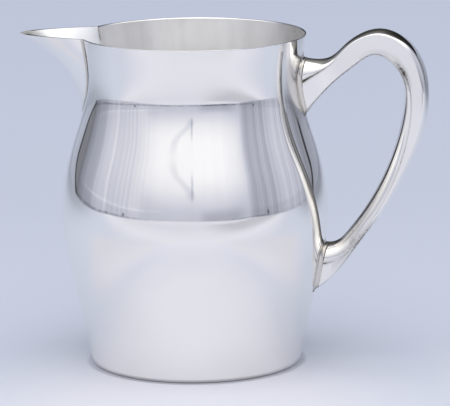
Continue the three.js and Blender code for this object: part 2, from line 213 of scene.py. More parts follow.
# %% [markdown]
# ## Polished silver
# Silver that has been buffed on a wheel is nearly a mirror. Up close it is never perfect: the buff leaves
# hairlines that run round the jug, hand work leaves a slow waviness that makes straight reflections
# tremble, and handling leaves a thin haze. A plain metal colour with a low roughness would look like
# chrome in a catalogue, so the three traces are each a noise of its own size in the bump and roughness.
# Polish and dust collect in joints, and shade is painted into creases, hollows and places that mirror
# something dark. Each point of a piece carries one number for both: where it is low the silver only turns
# dull, and where it is high it turns brown in speckles.
# The inside is rubbed up and down with a stick instead of buffed, so its satin has a grain.

# %% The silver finishes
# The dull colour that grime and painted shade turn the silver to, then the dark of their speckles.
dull_and_shade_colour = (0.48, 0.455, 0.42, 1)
speckle_colour = (0.07, 0.06, 0.048, 1)
quarter_turn = 0.25
film_scale, cloud_scale, swing_scale, speckle_scale = 90, 28, 65, 1100


def silver(
    name, clean, tarnish, gloss, haze, wave=4e-5, hair=6e-7, spread=(2400, 2400, 2400), metal=1.0, grain=0.0
):
    """gloss and haze set the roughness, wave and hair the bump, and spread the run of the hairlines."""
    material, tree, shader = finish_tree(name)
    spot = tree.node("ShaderNodeTexCoord", out="Object")
    tarnish_and_shade = spot.noise(film_scale, 3).rise(0.45, 0.75)
    cloud = spot.noise(cloud_scale, 4).rise(0.4, 0.8)
    rounds = spot.vector("MULTIPLY", spread).noise(1.0, 3)
    swing = spot.noise(swing_scale, 1.0)
    stain = tarnish_and_shade * 0.35 + cloud * 0.4 + rounds.rise(0.4, 0.7) * (grain * 0.5)
    # Grime and painted shade of the piece, read from its mesh.
    shade_and_dirt = tree.node("ShaderNodeAttribute", {"attribute_name": "grime"}, out="Fac")
    speckles = (shade_and_dirt + spot.noise(speckle_scale, 3) * 0.7 - 0.75).rise(0, 0.5)
    dull = (shade_and_dirt * 0.9).blend(stain.blend(clean + (1,), tarnish + (1,)), dull_and_shade_colour)
    roughness = tarnish_and_shade * haze + rounds * haze + gloss + shade_and_dirt.rise(0, 0.4) * 0.18 + speckles * 0.1
    bump = {"Height": swing * wave + rounds * hair, "Strength": 1.0, "Distance": 1.0}
    shader.inputs["Metallic"].default_value = metal
    shader.inputs["Anisotropic"].default_value = grain
    shader.inputs["Anisotropic Rotation"].default_value = quarter_turn
    speckles.blend(dull, speckle_colour).feed(shader, "Base Color")
    roughness.feed(shader, "Roughness")
    tree.node("ShaderNodeBump", None, bump).feed(shader, "Normal")
    print("finish:", name, "with", len(material.node_tree.nodes), "nodes")
    return material


outside_silver = silver(
    "outside_silver", (0.965, 0.95, 0.925), (0.925, 0.905, 0.87),
    gloss=0.03, haze=0.03, wave=9e-5, hair=2.5e-7, spread=(60, 60, 5200), metal=0.96,
)
inside_silver = silver(
    "inside_silver", (1.0, 0.99, 0.975), (0.88, 0.865, 0.84),
    gloss=0.34, haze=0.12, wave=6e-5, spread=(300, 300, 8), metal=0.7, grain=0.85,
)
spout_lining = silver(
    "spout_lining", (1.0, 1.0, 0.99), (0.97, 0.965, 0.955),
    gloss=0.3, haze=0.06, wave=6e-5, spread=(900, 900, 60), metal=0.9,
)
filed_silver = silver("filed_silver", (0.97, 0.96, 0.94), (0.9, 0.885, 0.86), gloss=0.45, haze=0.1)
handle_silver = silver(
    "handle_silver", (0.965, 0.95, 0.925), (0.92, 0.9, 0.86),
    gloss=0.035, haze=0.03, hair=2e-7, spread=(900, 900, 900),
)
solder_silver = silver("solder_silver", (0.87, 0.83, 0.765), (0.7, 0.65, 0.575), gloss=0.09, haze=0.08)
seam_solder = silver("seam_solder", (0.78, 0.735, 0.665), (0.6, 0.55, 0.475), gloss=0.16, haze=0.1)

# %% [markdown]
# ## Skins with their own normals
# A mirror surface needs exact normals more than it needs many faces. Each form is a grid of points, and
# the normal at a point comes from the slopes of the grid on both sides of it. Several grids that share
# their edge points make one closed piece, and the corners of each face keep the normals of their own
# grid, so an edge between two grids stays crisp.

# %% A piece made of grids
def slopes(points, axis, wrap):
    if wrap:
        return np.roll(points, -1, axis) - np.roll(points, 1, axis)
    return np.gradient(points, axis=axis, edge_order=2 if points.shape[axis] > 2 else 1)


class Skin:
    """Grids of points, in millimetres from the jug's axis, that close into one piece."""

    def __init__(self):
        self.points = []
        self.numbers = {}
        self.faces = []
        self.finishes = []
        self.normals = []
        # Grime and painted shade at each point.
        self.grime = {}

    def corner(self, point):
        key = tuple(round(float(v), 4) for v in point)
        if key not in self.numbers:
            self.numbers[key] = len(self.points)
            self.points.append(key)
        return self.numbers[key]

    def face(self, corners, normals, finish):
        kept = [i for i, c in enumerate(corners) if c != corners[i - 1]]
        if len(kept) > 2:
            self.faces.append([corners[i] for i in kept])
            self.finishes.append(finish)
            self.normals.extend(tuple(normals[i]) for i in kept)

    def grid(self, rows, facing, wrap=(False, False), finish=0, grime=None):
        """Adds a grid; facing(points) tells roughly which way its outer side looks."""
        points = np.array(rows, float)
        normal = np.cross(slopes(points, 0, wrap[0]), slopes(points, 1, wrap[1]))
        length = np.linalg.norm(normal, axis=2, keepdims=True)
        flat = length[..., 0] < 1e-9
        normal = normal / np.maximum(length, 1e-9)
        if flat.any():
            normal[flat] = np.mean(normal[~flat], axis=0)
        turned = np.sum(normal * facing(points)) < 0
        normal = -normal if turned else normal
        index = [[self.corner(p) for p in row] for row in points]
        if grime is not None:
            self.grime.update(zip(np.ravel(index).tolist(), np.ravel(grime).tolist()))
        down, across = len(index), len(index[0])
        for i in range(down if wrap[0] else down - 1):
            for j in range(across if wrap[1] else across - 1):
                i2, j2 = (i + 1) % down, (j + 1) % across
                places = [(i, j), (i2, j), (i2, j2), (i, j2)]
                places = places[::-1] if turned else places
                self.face([index[a][b] for a, b in places], [normal[a][b] for a, b in places], finish)

    def cap(self, ring, facing):
        """Closes a flat ring of points with one face."""
        points = np.array(ring, float)
        normal = sum(np.cross(points[i - 1], points[i]) for i in range(len(points)))
        normal = normal / max(np.linalg.norm(normal), 1e-12)
        if np.dot(normal, facing) < 0:
            points, normal = points[::-1], -normal
        self.face([self.corner(p) for p in points], [normal] * len(points), 0)

    def open_edges(self):
        count = {}
        for face in self.faces:
            for a, b in zip(face, face[1:] + face[:1]):
                count[(a, b)] = count.get((a, b), 0) + 1
        return sum(1 for (a, b), n in count.items() if count.get((b, a), 0) != n)


def outward(points):
    return points * (1, 1, 0)


def inward(points):
    return points * (-1, -1, 0)


def towards(x, y, z):
    return lambda points: np.broadcast_to((x, y, z), points.shape)


def make_piece(name, skin, finishes, slot, *nodes):
    mesh = bpy.data.meshes.new(name)
    places = [Vector(p) * 0.001 + jug_axis for p in skin.points]
    mesh.from_pydata(places, [], skin.faces)
    mesh.polygons.foreach_set("use_smooth", [True] * len(mesh.polygons))
    mesh.normals_split_custom_set(skin.normals)
    shade_and_dirt = mesh.attributes.new("grime", "FLOAT", "POINT")
    shade_and_dirt.data.foreach_set("value", [skin.grime.get(i, 0.0) for i in range(len(skin.points))])
    for finish in finishes:
        mesh.materials.append(finish)
    mesh.polygons.foreach_set("material_index", skin.finishes)
    piece = put_in_scene(name, mesh)
    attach(piece, "root")
    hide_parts(*nodes)
    print(name, "faces:", len(skin.faces), "open edges:", skin.open_edges())


print("skins ready")

# %% [markdown]
# ## The baluster wall
# The wall is raised over a stake to a smooth belly and a waisted neck. Its outline is a spline through
# six radii, the same ones that the solids are set out with. A surface of revolution would be one spin
# of that outline, but the cut for the spout has to stop some of its columns early, so the columns are
# laid out here one by one: straight up inside the cut and evenly round the rest.

# %% The outline of the wall
def spline_through(at, values, start_slope=None, end_slope=None):
    at, values = np.array(at, float), np.array(values, float)
    step = np.diff(at)
    rise = np.diff(values) / step
    last = len(at) - 1
    system = np.eye(last + 1) * 2
    right = np.zeros(last + 1)
    for i in range(1, last):
        system[i, i - 1] = step[i - 1] / (step[i - 1] + step[i])
        system[i, i + 1] = 1 - system[i, i - 1]
        right[i] = 6 * (rise[i] - rise[i - 1]) / (step[i - 1] + step[i])
    if start_slope is not None:
        system[0, 1] = 1
        right[0] = 6 * (rise[0] - start_slope) / step[0]
    if end_slope is not None:
        system[last, last - 1] = 1
        right[last] = 6 * (end_slope - rise[-1]) / step[-1]
    bend = np.linalg.solve(system, right)

    def value(x):
        i = min(max(int(np.searchsorted(at, x)) - 1, 0), last - 1)
        h, a, b = step[i], at[i + 1] - x, x - at[i]
        curve = (bend[i] * a**3 + bend[i + 1] * b**3) / (6 * h)
        line = (values[i] * a + values[i + 1] * b) / h
        return float(curve + line - (bend[i] * a + bend[i + 1] * b) * h / 6)

    return value


rim_height = 108
sheet = 0.7
wall_heights = [0, 28, 48, 68, 90, rim_height]
wall_radii = [34.1, 40.2, 43.5, 40.85, 35.05, 36.75]
foot_slope, rim_slope = 0.205, 0.12
wall_radius = spline_through(wall_heights, wall_radii, foot_slope, rim_slope)


def inner_radius(z):
    slope = (wall_radius(z + 0.01) - wall_radius(z - 0.01)) / 0.02
    return wall_radius(z) - sheet * math.hypot(1, slope)


print("widest:", wall_radii[2], "neck:", wall_radii[4], "rim:", wall_radii[5], "mm")

# %% The seam of the spout on the wall
spout_length = 26.5
spout_half_width = 14.7
seam_widest = rim_height - 4
seam_fullness = 1.6
spout_foot = rim_height - spout_length


def seam_half_width(z):
    share = min(max((seam_widest - z) / (seam_widest - spout_foot), 0), 1)
    return spout_half_width * math.sqrt(1 - share**seam_fullness)


def seam_point(run, away):
    """A point of the seam's U, laid flat as (sideways, height), moved off its line."""
    def flat(s):
        z = spout_foot + spout_length * s * s
        return np.array([math.copysign(seam_half_width(z), s), z])

    along = flat(run + 0.004) - flat(run - 0.004)
    along /= np.linalg.norm(along)
    return flat(run) + away * np.array([along[1], -along[0]])


seam_lap = 0.5
notch_half = spout_half_width - seam_lap
notch_foot = spout_foot + seam_lap


def notch_height(y):
    share = max(1 - (y / notch_half) ** 2, 0) ** (1 / seam_fullness)
    return seam_widest - share * (seam_widest - notch_foot)


print("the cut runs from", notch_foot, "mm to the rim and is", 2 * notch_half, "mm wide")

# %% The columns of the wall
notch_columns = 36
round_columns = 168
last_column = notch_columns + round_columns
low_steps, top_steps = 90, 8
foot_edge = 1.4
lip_height = 0.3
notch_sides = [
    notch_half * math.sin(math.pi / 2 * (2 * j / notch_columns - 1)) for j in range(notch_columns + 1)
]


def column_angle(j, z):
    """Angle from the spout's direction at which a column stands at a height."""
    radius = wall_radius(z)
    if j <= notch_columns:
        return math.asin(notch_sides[j] / radius)
    side = math.asin(notch_half / radius)
    return side + (2 * math.pi - 2 * side) * (j - notch_columns) / round_columns


def wall_point(j, z, radius, height=None):
    angle = column_angle(j, z)
    return (-radius * math.cos(angle), radius * math.sin(angle), z if height is None else height)


rim_start = rim_height - lip_height
low_rows = [foot_edge + (seam_widest - foot_edge) * i / low_steps for i in range(low_steps + 1)]
top_rows = [seam_widest + (rim_start - seam_widest) * i / top_steps for i in range(1, top_steps + 1)]
round_span = range(notch_columns, last_column + 1)
whole_ring = range(last_column)


def cut_row(i, radius_at):
    heights = [foot_edge + (notch_height(y) - foot_edge) * i / low_steps for y in notch_sides]
    return [wall_point(j, z, radius_at(z)) for j, z in enumerate(heights)]


print("columns:", len(whole_ring), "rows:", len(low_rows) + len(top_rows))

# %% [markdown]
# The edge of a raised sheet is filed flat and its inner corner is burnished round, and the foot turns in
# over a small radius to a flange. These narrow turns catch the light as fine lines. The wall is darker
# beside the handle's upper root and in a spot under its tail. Inside, shade is painted along the cut, and a
# painted reflection darkens the wall by its bearing from the lens, most towards the handle.

# %% Where the wall is darker
# Painted shade down both edges of the cut, inside.
cut_shade = 0.6


def root_darkening(points):
    """How much darker the outside is: beside the upper root of the handle, and in a spot under its tail."""
    x, y, z = np.moveaxis(np.array(points), 2, 0)
    beside = np.abs(y) - np.interp(z, [80, 84, 90, 97, 102], [1.2, 2.2, 3.9, 5.3, 5.4])
    brown = np.interp(beside, [-1, 2, 9, 11.5], [0.42, 0.4, 0.3, 0])
    brown = brown * np.interp(z, [79, 83, 92, 95, 101, 104], [0, 1, 1, 1.25, 1.25, 0])
    spot = np.clip(1 - np.hypot(y + 2, z - 79) / 2.5, 0, 1) * 0.7
    return np.where(x > 0, np.maximum(brown, spot), 0)


def inside_painted_shade(points):
    """How much darker the inside is: painted shade along the cut, and a painted reflection that is darkest
    towards the handle.
    """
    spots = np.array(points)
    sideways, away = spots @ np.array(to_the_right), spots @ np.array(-towards_lens)
    bearing_in = np.degrees(np.arctan2(sideways, away))
    # Painted reflection: darker by bearing from the lens, most towards the handle.
    tarnish_and_shade = np.interp(bearing_in, [20, 30, 46, 56, 70, 80, 105], [0, 0.12, 0.17, 0.3, 0.46, 0.42, 0])
    # Painted shade along the cut.
    tarnish_and_shade[len(low_rows) - 1:, [0, -1]] = cut_shade
    return tarnish_and_shade


print("dirt at the cut:", cut_shade)

# %% Build the body
body = Skin()
# Each side with its darkening: patches outside, painted shade and a painted reflection inside.
walls = ((wall_radius, outward, root_darkening), (inner_radius, inward, inside_painted_shade))
for finish, (radius_at, side, darkening_at) in enumerate(walls):
    body.grid([cut_row(i, radius_at) for i in range(low_steps + 1)], side, finish=finish)
    rounds = [[wall_point(j, z, radius_at(z)) for j in round_span] for z in low_rows + top_rows]
    body.grid(rounds, side, finish=finish, grime=darkening_at(rounds))

outer_rim, inner_rim = wall_radius(rim_start), inner_radius(rim_start)
lip_shares = [0, 0.02, 0.05, 0.1, 0.2, 0.35, 0.5, 0.6, 0.7, 0.8, 0.9, 1]


def rim_point(j, share):
    """A point of the rim from its crisp outer edge, share 0, to its rounded inner edge, share 1."""
    radius = outer_rim + (inner_rim - outer_rim) * share
    rise = 1 - (2 * share - 1) ** (2 if share > 0.5 else 12)
    return wall_point(j, rim_start, radius, rim_start + lip_height * rise)


body.grid([[rim_point(j, s) for j in round_span] for s in lip_shares], towards(0, 0, 1))
for j, side in ((notch_columns, -1), (last_column, 1)):
    body.cap([rim_point(j, s) for s in lip_shares], (0, side, 0))

cut_edge = [(last_column, z) for z in reversed(top_rows)]
cut_edge += [(j, notch_height(y)) for j, y in enumerate(notch_sides)]
cut_edge += [(notch_columns, z) for z in top_rows]
body.grid(
    [[wall_point(j, z, radius_at(z)) for j, z in cut_edge] for radius_at in (wall_radius, inner_radius)],
    lambda points: (0, 0, seam_widest) - points * (0, 1, 1),
)
print("wall without its foot:", len(body.faces), "faces")

# %% [markdown]
# The foot closes the same skin: over its rounded edge, in under the flange and up inside the wall.

# %% Close the foot
edge_centre = wall_radius(foot_edge) - foot_edge
inner_edge = foot_edge - sheet
flange_inner = edge_centre - 4
arc_steps = 8
# Painted shade on the lowest rows of the foot's turn, next to the table.
foot_shade = [0] * 7 + [0.1, 0.2, 0.3]


def foot_arc(radius, first, last):
    turns = [math.radians(first + (last - first) * i / arc_steps) for i in range(arc_steps + 1)]
    return [(edge_centre + radius * math.cos(t), foot_edge + radius * math.sin(t)) for t in turns]


def foot_grid(outline, facing, shade_and_dirt=None):
    rows = [[wall_point(j, foot_edge, r, z) for j in whole_ring] for r, z in outline]
    grime = None if shade_and_dirt is None else np.repeat(np.array(shade_and_dirt)[:, None], len(whole_ring), 1)
    body.grid(rows, facing, (False, True), grime=grime)


outer_turn = [(wall_radius(foot_edge), foot_edge)] + foot_arc(foot_edge, -6, -90)
inner_turn = [(inner_radius(foot_edge), foot_edge)] + foot_arc(inner_edge, -6, -90)
foot_grid(outer_turn, outward, foot_shade)
foot_grid([(edge_centre, 0), (flange_inner, 0)], towards(0, 0, -1))
foot_grid([(flange_inner, 0), (flange_inner, sheet)], inward)
foot_grid([(flange_inner, sheet), (edge_centre, sheet)], towards(0, 0, 1))
foot_grid(inner_turn, inward)
make_piece("body_shell", body, [outside_silver, inside_silver], "polished_silver", "body_wall")

# %% [markdown]
# ## Bottom and its solder
# A flat disc is let in on to the flange and soldered from inside. Only its edge line and the narrow
# concave ring of solder show, deep in the jug. The ring is a curve tangent to both, spun round the axis.

# %% Build the bottom
disc_gap, seat_gap = 0.08, 0.02
disc_radius = inner_radius(foot_edge) - disc_gap
disc_under, disc_top = sheet + seat_gap, 2 * sheet
disc = Skin()
ring_steps = 160
disc_turns = [2 * math.pi * j / ring_steps for j in range(ring_steps)]


def ring(radius, height):
    return [(radius * math.cos(t), radius * math.sin(t), height) for t in disc_turns]


radii = [0.02 * disc_radius] + [disc_radius * i / 12 for i in range(1, 13)]
for height, facing in ((disc_top, towards(0, 0, 1)), (disc_under, towards(0, 0, -1))):
    disc.grid([ring(r, height) for r in radii], facing, (False, True))
    disc.cap(ring(radii[0], height), facing(np.zeros(3)))
disc.grid([ring(disc_radius, h) for h in (disc_under, disc_top)], outward, (False, True))
make_piece("bottom_disc", disc, [inside_silver], "inside_silver", "base_disc")

# %% Run solder round the bottom
def fillet_curve(on_wall, at_corner, on_piece, steps=8):
    """A hollow curve from the wall to a piece, tangent to both, that bends round their corner."""
    shares = [i / steps for i in range(steps + 1)]
    return [(1 - s) ** 2 * on_wall + 2 * s * (1 - s) * at_corner + s * s * on_piece for s in shares]


leg = 1.6
base_ring = Skin()
wall_end = np.array((inner_radius(disc_top + leg), disc_top + leg))
inner_corner = np.array((inner_radius(disc_top), disc_top))
floor_end = inner_corner - (leg, 0)
hollow = fillet_curve(wall_end, inner_corner, floor_end, 10)
base_ring.grid([ring(*p) for p in hollow], lambda p: inward(p) + (0, 0, 20), (False, True))
under = [tuple(floor_end), tuple(inner_corner + (0.1, -0.1)), tuple(wall_end)]
base_ring.grid([ring(*p) for p in under], outward, (False, True))
make_piece("bottom_solder", base_ring, [solder_silver], "solder", "base_solder")

# %% [markdown]
# ## The beak spout
# The spout is a blank folded along its keel and soldered over the cut. Its top edge is level and narrows
# to a point; lower slices are shorter copies of the same parabola, and their noses follow one swept
# keel line. The sheet is filed level on top, so it looks thickest at the tip, where it lies flattest and
# where solder has filled the fold. Its lining leans out a little below the lip, so that it mirrors white.

# %% The form of the spout
spout_reach = 56.6
nose_fill = 0.6
lining_lean = 1.6
keel_points = np.array((
    (wall_radius(spout_foot), spout_foot),
    (wall_radius(spout_foot) + 0.6, spout_foot + 14),
    (spout_reach - 11.6, rim_height - 6.8),
    (spout_reach, rim_height),
))


def keel_at(t):
    a, b, c, d = keel_points
    s = 1 - t
    return s**3 * a + 3 * s * s * t * b + 3 * s * t * t * c + t**3 * d


def spout_point(run, across, lift=0.05):
    nose = keel_at(run * run)
    half = seam_half_width(nose[1])
    edge = math.sqrt(max((wall_radius(min(nose[1], rim_height)) + lift) ** 2 - half**2, 1))
    reach = nose[0] - (nose[0] - edge) * across * across
    return np.array((-reach, half * across, nose[1]))


def spout_normal(run, across):
    along = spout_point(run + 0.002, across) - spout_point(run - 0.002, across)
    side = spout_point(run, across + 0.004) - spout_point(run, across - 0.004)
    normal = np.cross(along, side)
    return normal / np.linalg.norm(normal)


def spout_inside(run, across):
    """The lining: filled at the nose, and leaning out from the lip until it fades into the cut."""
    filled = nose_fill * min(max((run - 0.75) / 0.2, 0), 1) * (1 - across**2) ** 2
    depth = max(rim_height - keel_at(run * run)[1], 0)
    below_lip = 1 - math.exp(-depth / 5)
    upper = min(max((17 - depth) / 9, 0), 1)
    off_keel = (1 - 0.5 * across**10) * across**2 / (across**2 + 0.08)
    leaning = lining_lean * below_lip * upper**2 * (3 - 2 * upper) * off_keel
    return spout_point(run, across) - (1 + filled + leaning) * sheet * spout_normal(run, across)


def crossing(still_before, low, high, steps=40):
    """Halves a span until it finds where a test stops being true."""
    for _ in range(steps):
        middle = (low + high) / 2
        if still_before(middle):
            low = middle
        else:
            high = middle
    return low


print("tip of the spout at", [round(float(v), 2) for v in spout_point(1, 0)])

# %% Build the spout
spout_rows, spout_columns, spout_start = 56, 48, 0.05
filed_first, filed_last = 18, 30
lip_steps = 8
acrosses = [1 - 2 * j / spout_columns for j in range(spout_columns + 1)]
spout = Skin()
lip_line = rim_height - 0.04
sheets = {}
for form in (spout_point, spout_inside):
    ends = [crossing(lambda run: form(run, a)[2] < lip_line, 0.3, 1.02) for a in acrosses]
    sheets[form] = [
        [form(spout_start + (e - spout_start) * i / spout_rows, a) for a, e in zip(acrosses, ends)]
        for i in range(spout_rows + 1)
    ]
spout.grid(sheets[spout_point], towards(-1, 0, -0.3))
reaches = -np.array(sheets[spout_inside])[:, :, 0]
# Painted shade in the narrow channel of the lining towards the nose.
nose_shade = np.interp(reaches, [47, 55], [0, 0.45])
spout.grid(sheets[spout_inside], towards(1, 0, 0.3), finish=1, grime=nose_shade)
outer_top, inner_top = np.array(sheets[spout_point][-1]), np.array(sheets[spout_inside][-1])
thickness = np.linalg.norm(outer_top - inner_top, axis=1, keepdims=True)
lip = []
for i in range(lip_steps + 1):
    turn = math.pi * i / lip_steps
    middle = (outer_top + inner_top) / 2 + (outer_top - inner_top) / 2 * math.cos(turn)
    lip.append(middle + np.array((0, 0, 0.03 * math.sin(turn))) * thickness)
lip_parts = ((0, filed_first, 0), (filed_first, filed_last, 2), (filed_last, spout_columns, 0))
for first, last, finish in lip_parts:
    spout.grid([row[first:last + 1] for row in lip], towards(0, 0, 1), finish=finish)
for j, side in ((0, 1), (spout_columns, -1)):
    strip = [[row[j] for row in sheets[form]] for form in (spout_point, spout_inside)]
    spout.grid(strip, towards(1, 0.3 * side, 0))
    spout.cap([row[j] for row in lip], (1, 0.3 * side, 0))
spout.grid([sheets[spout_point][0], sheets[spout_inside][0]], towards(0, 0, -1))
make_piece("beak_spout", spout, [outside_silver, spout_lining, filed_silver], "polished_silver", "spout")

# %% [markdown]
# ## Solder fillets
# Hard solder draws into a joint and leaves a narrow hollow fillet, tangent to both faces. It is made as
# a ribbon of small curves: each starts on the wall, bends round the corner of the joint and ends on the
# piece that is soldered on. The hidden side closes the ribbon inside the joint. Polish dries at its edge.

# %% Build the fillet of the spout
seam_steps, seam_end, seam_width = 60, 0.997, 1.0


def on_spout_side(y, z, lift=0.0):
    radius = wall_radius(z) + lift
    return np.array((-math.sqrt(radius**2 - y**2), y, z))


def spout_at(y, z):
    run = crossing(lambda share: keel_at(share * share)[1] < z, 0.0, 1.0)
    half = max(seam_half_width(z), 1e-6)
    return spout_point(run, min(max(y / half, -1), 1))


def seam_curve(run, width):
    corner_point = on_spout_side(*seam_point(run, 0.0))
    wall_side = on_spout_side(*seam_point(run, width))
    step_in = width
    for _ in range(6):
        spout_side = spout_at(*seam_point(run, -step_in))
        step_in = min(step_in * width / max(np.linalg.norm(spout_side - corner_point), 1e-6), width)
    spout_side = spout_at(*seam_point(run, -step_in))
    return fillet_curve(wall_side, corner_point, spout_side), on_spout_side(*seam_point(run, 0.0), -0.4)


def ribbon(curves, roots, facing, grime, closed=False):
    """A skin of fillet curves with its hidden side."""
    skin = Skin()
    skin.grid(curves, facing, (closed, False), grime=grime)
    hidden = [[c[0], r, c[-1]] for c, r in zip(curves, roots)]
    skin.grid(hidden, lambda points: -facing(points), (closed, False))
    return skin


seam_runs = [i / seam_steps * seam_end for i in range(-seam_steps, seam_steps + 1)]
curves, roots = zip(*(seam_curve(r, seam_width) for r in seam_runs))
seam_heights = np.array([r[2] for r in roots])[:, None]
wall_edge = np.clip(1.4 - np.arange(9) / 4, 0, 1)[None, :]
dried = np.interp(seam_heights, [82, 88, 92, 97, 103, 107], [0.2, 0.3, 0.72, 0.9, 0.85, 0.4])
seam_fillet = ribbon(curves, roots, lambda p: p * (1, 0, 0) + (-5, 0, -2), wall_edge * dried)
for end in (0, -1):
    seam_fillet.cap(list(curves[end]) + [roots[end]], (0, 0, 1))
make_piece("spout_fillet", seam_fillet, [seam_solder], "solder", "spout_solder")

# %% [markdown]
# ## The hollow handle
# Each half of the handle is stamped from sheet and the two are soldered along the middle. The section
# has flat cheeks and crowned edges, and it flares where it meets the wall: a broad rounded root with a
# thin tail under it at the top, and the same turned over at the bottom. The outline is set out as shares
# of the handle's reach and of the rim's height, at eleven stations, and splines run through them. A
# station lists x and height of the outer and the inner edge, then for both edges the depth from cheek to
# cheek, the crown, and how far the crown turns: beyond 90 degrees it rolls into a bead with a crease.

# %% The stations of the handle
handle_reach = 76.5
upper_end, upper_tail = rim_height - 6.9, rim_height - 25.8
lower_end, lower_tail = 39.6, 23.9
embed = 2


def out(share):
    return handle_reach * share


def up(share):
    return rim_height * share


def off(z, share):
    return wall_radius(z) + out(share)


root_x, tail_x = wall_radius(upper_end) - embed, wall_radius(upper_tail) - embed
foot_x, heel_x = wall_radius(lower_tail) - embed, wall_radius(lower_end) - embed
crown_turns = (90, 100, 105, 108, 118)
plain, limb_turn, bead_turn, lower_turn, root_turn = (math.radians(turn) for turn in crown_turns)
stations = np.array([
    (root_x, upper_end, tail_x, upper_tail - embed * 1.4, 12, 4, 6.2, 1.3, root_turn, plain),
    (off(upper_end, 0.111), up(0.9325), off(upper_end, 0.124), up(0.85), 11, 10, 2, 1.3, plain, plain),
    (out(0.662), up(0.983), out(0.691), up(0.908), 11, 11, 1.2, 1.3, plain, plain),
    (out(0.788), up(1.018), out(0.775), up(0.938), 11.5, 11.5, 1.2, 2, plain, plain),
    (out(0.931), up(0.971), out(0.858), up(0.901), 11.5, 11.5, 2, 1.8, plain, bead_turn),
    (out(1), up(0.824), out(0.893), up(0.817), 11.5, 11.5, 2.3, 2.2, plain, bead_turn),
    (out(0.933), up(0.631), out(0.845), up(0.648), 10.5, 10.5, 1.7, 3.2, plain, limb_turn),
    (out(0.793), up(0.452), out(0.722), up(0.47), 10, 10, 1.4, 3.6, plain, limb_turn),
    (off(up(0.363), 0.138), up(0.355), off(up(0.397), 0.078), up(0.394), 9, 9, 1.3, 3.8, plain, limb_turn),
    (off(up(0.262), 0.056), up(0.259), off(lower_end, 0.032), lower_end + out(0.004),
     9, 35 / 3, 1.3, 4.4, plain, lower_turn),
    (foot_x, lower_tail - embed * 0.5, heel_x, lower_end, 9.5, 13.5, 1.3, 4.6, plain, lower_turn),
])
middles = (stations[:, 0:2] + stations[:, 2:4]) / 2
handle_runs = np.concatenate([[0], np.cumsum(np.linalg.norm(np.diff(middles, axis=0), axis=1))])
handle_length = handle_runs[-1]
handle_lines = [spline_through(handle_runs, column) for column in stations.T]
print("length along the handle:", round(float(handle_length), 1), "mm")

# %% A point of the handle
end_share = 0.09


def on_crown(half, crown, turn):
    """A point of a crown, as its drop from the edge and its distance from the middle plane."""
    return np.array((crown * (1 - math.cos(turn)), half * math.sin(turn)))


def handle_point(run, around, offset=0.0):
    """around runs 0 to 1 over the outer crown, to 2 down the cheek and to 3 over the inner crown."""
    station = [line(run) for line in handle_lines]
    outer, inner = np.array(station[0:2]), np.array(station[2:4])
    outer_half, inner_half = (max(depth / 2 + offset, 0.4) for depth in station[4:6])
    outer_crown, inner_crown = (max(crown + offset, 0.4) for crown in station[6:8])
    outer_turn, inner_turn = station[8:10]
    direction = (outer - inner) / np.linalg.norm(outer - inner)
    thickness = np.linalg.norm(outer - inner) + 2 * offset
    from_top = np.array((thickness, 0))
    upright = np.array((-1, 1))
    if around <= 1:
        height, depth = from_top + upright * on_crown(outer_half, outer_crown, outer_turn * around)
    elif around < 2:
        start = from_top + upright * on_crown(outer_half, outer_crown, outer_turn)
        end = on_crown(inner_half, inner_crown, inner_turn)
        height, depth = start + (end - start) * (around - 1)
    else:
        height, depth = on_crown(inner_half, inner_crown, inner_turn * (3 - around))
    place = inner + direction * (height - offset)
    return np.array((place[0], depth, place[1]))


def run_on_wall(around, lower, offset, lift):
    """How far along the handle a line of it stands a given distance off the wall, near one end."""
    def inside_wall(share):
        x, y, z = handle_point(handle_length * (1 - share if lower else share), around, offset)
        return math.hypot(x, y) < wall_radius(min(z, rim_height)) + lift

    share = crossing(inside_wall, 0.0, end_share, 36)
    return handle_length * (1 - share if lower else share)


print("top of the arch:", handle_point(handle_runs[3], 0).round(2), "mm")

# %% The grid of a half
crown_steps, cheek_steps, handle_rows = 16, 8, 150
wall_overlap = -0.1
patches = [
    [i / crown_steps for i in range(crown_steps + 1)],
    [1 + i / cheek_steps for i in range(cheek_steps + 1)],
    [2 + i / crown_steps for i in range(crown_steps + 1)],
]
arounds = sorted({a for patch in patches for a in patch})
starts = {a: run_on_wall(a, False, 0, wall_overlap) for a in arounds}
stops = {a: run_on_wall(a, True, 0, wall_overlap) for a in arounds}


def handle_grid(columns, offset, side):
    shares = [i / handle_rows for i in range(handle_rows + 1)]
    return [
        [handle_point(starts[a] + (stops[a] - starts[a]) * s, a, offset) * (1, side, 1) for a in columns]
        for s in shares
    ]


print("a half has", len(arounds), "lines along it")

# %% [markdown]
# Shade is painted on the handle as grime: in its creases and inner turns, on the cheek above the lower
# root, under the arch and the upper arm, and along the outer edge of the limb; the bead of the limb is
# duller, and the tips of the tails get dark spots. The marks could be painted by hand, but a short table is
# easier to
# change: a mark has a depth, a place and a reach along the handle, and a place and a reach around it.

# %% Where shade is painted on the handle
def near(value, middle, reach):
    return max(1 - abs(value - middle) / reach, 0)


# Painted shade in creases, turns and hollows, a duller bead and dark tips; the keys name the places.
shade_and_grime_marks = {
    "crease of the upper root": (1.0, 0, 0.13, 1, 0.09),
    "crease of the lower root": (0.9, 1, 0.065, 2, 0.09),
    "crease along the limb": (0.55, 0.62, 0.3, 2, 0.1),
    "lower edge of the upper arm": (0.8, 0.1, 0.22, 2.25, 0.25),
    "under the arch": (0.4, 0.28, 0.1, 2.2, 0.45),
    "turn of the arch": (0.85, 0.35, 0.06, 2.1, 0.4),
    "dull bead of the limb": (0.42, 0.85, 0.22, 2.5, 0.7),
    "cheek above the lower root": (0.64, 0.88, 0.08, 1.85, 0.9),
    "outer edge of the limb": (0.75, 0.865, 0.08, 0.75, 0.45),
    "tip of the lower tail": (1.0, 1, 0.03, 0.2, 0.6),
    "tip of the upper tail": (1.0, 0, 0.03, 2.8, 0.6),
}


